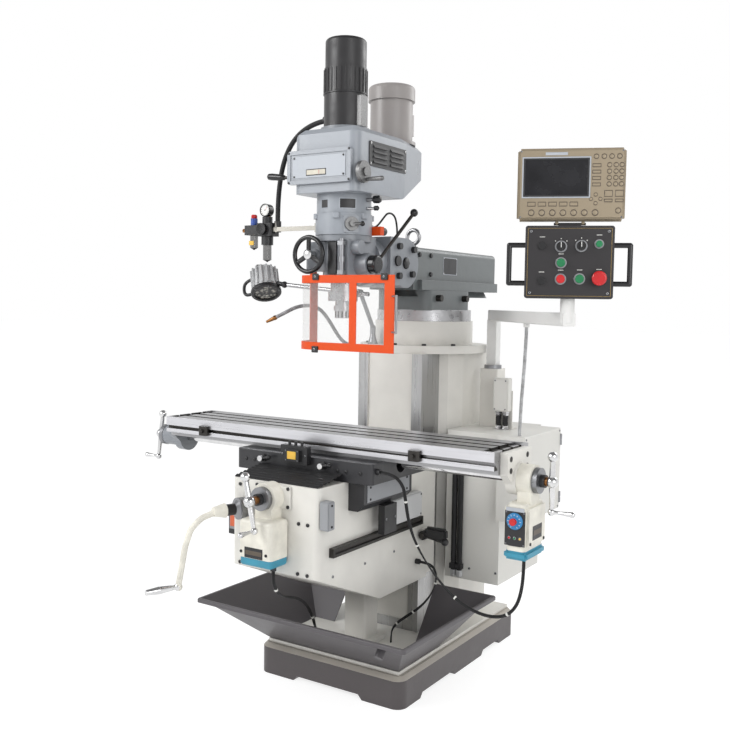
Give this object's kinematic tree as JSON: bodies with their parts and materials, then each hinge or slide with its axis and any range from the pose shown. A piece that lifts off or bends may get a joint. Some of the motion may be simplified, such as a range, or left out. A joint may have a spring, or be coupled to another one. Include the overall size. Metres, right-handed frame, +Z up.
{
  "type": "turret milling machine",
  "caption": "Knee-type turret milling machine with a tilting head on a ram, travelling table with power feeds, readout pendant, guard and chip tray.",
  "frame": {"origin": "middle of the base's underside, midway between the four anchor holes, on the floor", "axes": "+X to the operator's right along the table, +Y from the operator to the back, +Z up"},
  "size_m": [1.9263, 1.7103, 2.297],
  "materials": {
    "base_paint": "semi-gloss dark grey machine paint",
    "tray_paint": "semi-gloss dark grey sheet",
    "column_paint": "satin off-white machine paint",
    "cabinet_paint": "satin off-white powder coat",
    "head_paint": "satin mid-grey machine paint",
    "sheet_grey": "satin mid-grey paint",
    "saddle_paint": "semi-gloss charcoal machine paint",
    "ground_steel": "ground and scraped, oiled",
    "bright_steel": "turned and ground",
    "chrome": "polished plate",
    "black_plastic": "moulded matt black",
    "rubber": "black rubber",
    "orange_paint": "gloss orange powder coat",
    "clear": "clear polycarbonate sheet",
    "lamp_silver": "satin silver",
    "feed_case": "off-white moulded case over a teal base",
    "panel_black": "satin black panel",
    "readout_case": "champagne anodised front",
    "motor_paint": "satin warm grey paint",
    "drawbar_black": "satin black",
    "button_red": "gloss red",
    "button_green": "gloss green",
    "arm_paint": "satin white"
  },
  "bodies": {
    "frame": {"base_casting": "base_paint", "chip_tray": "tray_paint", "column": "column_paint", "column_fittings": "column_paint", "electrical_cabinet": "cabinet_paint", "coolant_gooseneck": "bright_steel"},
    "door": {"cabinet_door": "cabinet_paint"},
    "lamp_link": {"lamp_lower_link": "bright_steel"},
    "lamp_arm": {"lamp_rod": "bright_steel"},
    "lamp": {"lamp_head": "lamp_silver"},
    "knee": {"knee": "column_paint", "knee_fittings": "black_plastic", "y_feed_unit": "feed_case", "knee_cables": "rubber"},
    "knee_lock": {"knee_lock_lever": "black_plastic"},
    "knee_crank": {"z_crank": "bright_steel"},
    "lift_screw": {"elevating_screw": "bright_steel"},
    "cross_screw": {"y_screw": "chrome"},
    "saddle": {"saddle": "saddle_paint", "saddle_fittings": "black_plastic", "way_cover": "rubber", "x_feed_cable": "rubber"},
    "lock_left": {"table_lock_left": "black_plastic"},
    "lock_right": {"table_lock_right": "black_plastic"},
    "table": {"table": "ground_steel", "table_fittings": "saddle_paint", "x_feed_unit": "feed_case"},
    "feed_knob": {"x_feed_knob": "button_red"},
    "long_screw": {"x_screw": "chrome"},
    "turret": {"turret": "head_paint"},
    "ram": {"ram": "head_paint"},
    "knuckle": {"knuckle": "head_paint", "switch_cable": "rubber"},
    "head": {"head_casting": "head_paint", "gear_housing": "sheet_grey", "belt_housing": "sheet_grey", "drive_motor": "motor_paint", "drawbar_unit": "drawbar_black", "head_fittings": "orange_paint", "air_unit": "black_plastic", "drawbar_hose": "rubber"},
    "speed_crank": {"speed_crank": "bright_steel"},
    "range_knob": {"range_knob": "black_plastic"},
    "quill_lever": {"quill_lever": "black_plastic"},
    "feed_wheel": {"feed_handwheel": "black_plastic"},
    "quill": {"quill": "bright_steel"},
    "spindle": {"spindle": "bright_steel"},
    "guard": {"guard_frame": "orange_paint", "guard_window": "clear"},
    "pendant_arm": {"pendant_arm": "arm_paint", "pendant_cable": "rubber"},
    "pendant": {"control_box": "panel_black"},
    "readout": {"dro_unit": "readout_case"},
    "estop": {"estop_button": "button_red"},
    "stop": {"stop_button": "button_red"},
    "start": {"start_button": "button_green"},
    "coolant": {"coolant_button": "button_green"},
    "power": {"power_button": "button_green"},
    "selector_left": {"selector_left": "black_plastic"},
    "selector_right": {"selector_right": "black_plastic"}
  },
  "joints": [
    {"name": "knee_slide", "type": "slide", "parent": "frame", "child": "knee", "axis": [0, 0, -1], "range_m": [-0.26, 0.13], "deforming": ["knee_cables"]},
    {"name": "knee_crank_turn", "type": "hinge", "parent": "knee", "child": "knee_crank", "pos_m": [-0.104, -0.776, 0.706], "axis": [-0.342, -0.9397, 0], "continuous": true},
    {"name": "lift_screw_turn", "type": "hinge", "parent": "knee", "child": "lift_screw", "pos_m": [0, -0.245, 0.69], "axis": [0, 0, 1], "continuous": true},
    {"name": "knee_lock_turn", "type": "hinge", "parent": "knee", "child": "knee_lock", "pos_m": [0.198, -0.127, 0.525], "axis": [0, 1, 0], "range_deg": [-30, 30]},
    {"name": "saddle_slide", "type": "slide", "parent": "knee", "child": "saddle", "axis": [0, 1, 0], "range_m": [-0.12, 0.185], "deforming": ["way_cover"]},
    {"name": "cross_screw_turn", "type": "hinge", "parent": "knee", "child": "cross_screw", "pos_m": [0, -0.776, 0.758], "axis": [0, -1, 0], "continuous": true},
    {"name": "table_slide", "type": "slide", "parent": "saddle", "child": "table", "axis": [1, 0, 0], "range_m": [-0.38, 0.38], "deforming": ["x_feed_cable"]},
    {"name": "long_screw_turn", "type": "hinge", "parent": "table", "child": "long_screw", "pos_m": [0.7, -0.448, 0.849], "axis": [1, 0, 0], "continuous": true},
    {"name": "lock_left_turn", "type": "hinge", "parent": "saddle", "child": "lock_left", "pos_m": [-0.161, -0.646, 0.846], "axis": [0, -1, 0], "range_deg": [0, 75]},
    {"name": "lock_right_turn", "type": "hinge", "parent": "saddle", "child": "lock_right", "pos_m": [0.094, -0.646, 0.846], "axis": [0, -1, 0], "range_deg": [0, 75]},
    {"name": "feed_knob_turn", "type": "hinge", "parent": "table", "child": "feed_knob", "pos_m": [0.7358, -0.53, 0.731], "axis": [0, -1, 0], "range_deg": [0, 270]},
    {"name": "turret_swing", "type": "hinge", "parent": "frame", "child": "turret", "pos_m": [0, 0.19, 1.34], "axis": [0, 0, -1], "range_deg": [-15, 15]},
    {"name": "ram_slide", "type": "slide", "parent": "turret", "child": "ram", "axis": [0, -1, 0], "range_m": [-0.05, 0.16]},
    {"name": "head_nod", "type": "hinge", "parent": "ram", "child": "knuckle", "pos_m": [0.05, -0.13, 1.535], "axis": [-1, 0, 0], "range_deg": [-5, 20]},
    {"name": "head_tilt", "type": "hinge", "parent": "knuckle", "child": "head", "pos_m": [0, -0.262, 1.535], "axis": [0, 1, 0], "range_deg": [-45, 45], "deforming": ["switch_cable"]},
    {"name": "speed_crank_turn", "type": "hinge", "parent": "head", "child": "speed_crank", "pos_m": [0.14, -0.5, 1.822], "axis": [1, 0, 0], "continuous": true},
    {"name": "range_knob_turn", "type": "hinge", "parent": "head", "child": "range_knob", "pos_m": [0.07547, -0.45961, 1.655], "axis": [0.7547, -0.6561, 0], "range_deg": [-60, 60]},
    {"name": "quill_feed", "type": "slide", "parent": "head", "child": "quill", "axis": [0, 0, -1], "range_m": [0, 0.127]},
    {"name": "spindle_turn", "type": "hinge", "parent": "quill", "child": "spindle", "pos_m": [0, -0.394, 1.4], "axis": [0, 0, 1], "continuous": true},
    {"name": "quill_lever_turn", "type": "hinge", "parent": "head", "child": "quill_lever", "pos_m": [0.13, -0.4, 1.519], "axis": [1, 0, 0], "range_deg": [0, 143]},
    {"name": "feed_wheel_turn", "type": "hinge", "parent": "head", "child": "feed_wheel", "pos_m": [-0.07, -0.49, 1.551], "axis": [0, -1, 0], "continuous": true},
    {"name": "guard_swing", "type": "hinge", "parent": "head", "child": "guard", "pos_m": [-0.13, -0.395, 1.5], "axis": [0, 0, -1], "range_deg": [0, 80]},
    {"name": "lamp_swivel", "type": "hinge", "parent": "frame", "child": "lamp_link", "pos_m": [-0.112, -0.02, 1.27], "axis": [0, 0, 1], "range_deg": [-8, 20]},
    {"name": "lamp_elbow", "type": "hinge", "parent": "lamp_link", "child": "lamp_arm", "pos_m": [-0.06, -0.2, 1.422], "axis": [0, -1, 0], "range_deg": [-8, 10]},
    {"name": "lamp_tilt", "type": "hinge", "parent": "lamp_arm", "child": "lamp", "pos_m": [-0.374, -0.25, 1.452], "axis": [-0.9965, -0.0203, 0.0813], "range_deg": [-25, 25]},
    {"name": "pendant_swing", "type": "hinge", "parent": "frame", "child": "pendant_arm", "pos_m": [0.285, 0.25, 1.14], "axis": [0, 0, -1], "range_deg": [-60, 20], "deforming": ["pendant_cable"]},
    {"name": "pendant_swivel", "type": "hinge", "parent": "pendant_arm", "child": "pendant", "pos_m": [0.824, -0.372, 1.408], "axis": [0, 0, 1], "range_deg": [-45, 45]},
    {"name": "readout_tilt", "type": "hinge", "parent": "pendant", "child": "readout", "pos_m": [0.824, -0.372, 1.6363], "axis": [-0.9245, -0.3811, 0], "range_deg": [-10, 20]},
    {"name": "door_swing", "type": "hinge", "parent": "frame", "child": "door", "pos_m": [0.5262, 0.345, 0.75], "axis": [0, 0, 1], "range_deg": [0, 110]},
    {"name": "estop_press", "type": "slide", "parent": "pendant", "child": "estop", "axis": [-0.3811, 0.9245, 0], "range_m": [0, 0.004], "stiffness_N_per_m": 1200},
    {"name": "stop_press", "type": "slide", "parent": "pendant", "child": "stop", "axis": [-0.3811, 0.9245, 0], "range_m": [0, 0.004], "stiffness_N_per_m": 700},
    {"name": "start_press", "type": "slide", "parent": "pendant", "child": "start", "axis": [-0.3811, 0.9245, 0], "range_m": [0, 0.004], "stiffness_N_per_m": 700},
    {"name": "coolant_press", "type": "slide", "parent": "pendant", "child": "coolant", "axis": [-0.3811, 0.9245, 0], "range_m": [0, 0.004], "stiffness_N_per_m": 700},
    {"name": "power_press", "type": "slide", "parent": "pendant", "child": "power", "axis": [-0.3811, 0.9245, 0], "range_m": [0, 0.004], "stiffness_N_per_m": 700},
    {"name": "selector_left_turn", "type": "hinge", "parent": "pendant", "child": "selector_left", "pos_m": [0.81613, -0.41851, 1.5653], "axis": [0.3811, -0.9245, 0], "range_deg": [-45, 45]},
    {"name": "selector_right_turn", "type": "hinge", "parent": "pendant", "child": "selector_right", "pos_m": [0.8716, -0.39564, 1.5673], "axis": [0.3811, -0.9245, 0], "range_deg": [-45, 45]}
  ],
  "couplings": [
    {"joint": "knee_crank_turn", "follows": "knee_slide", "rad_per_m": 2513.3},
    {"joint": "lift_screw_turn", "follows": "knee_slide", "rad_per_m": -1256.6},
    {"joint": "cross_screw_turn", "follows": "saddle_slide", "rad_per_m": 1256.6},
    {"joint": "long_screw_turn", "follows": "table_slide", "rad_per_m": 1256.6},
    {"joint": "quill_lever_turn", "follows": "quill_feed", "rad_per_m": 19.4}
  ]
}
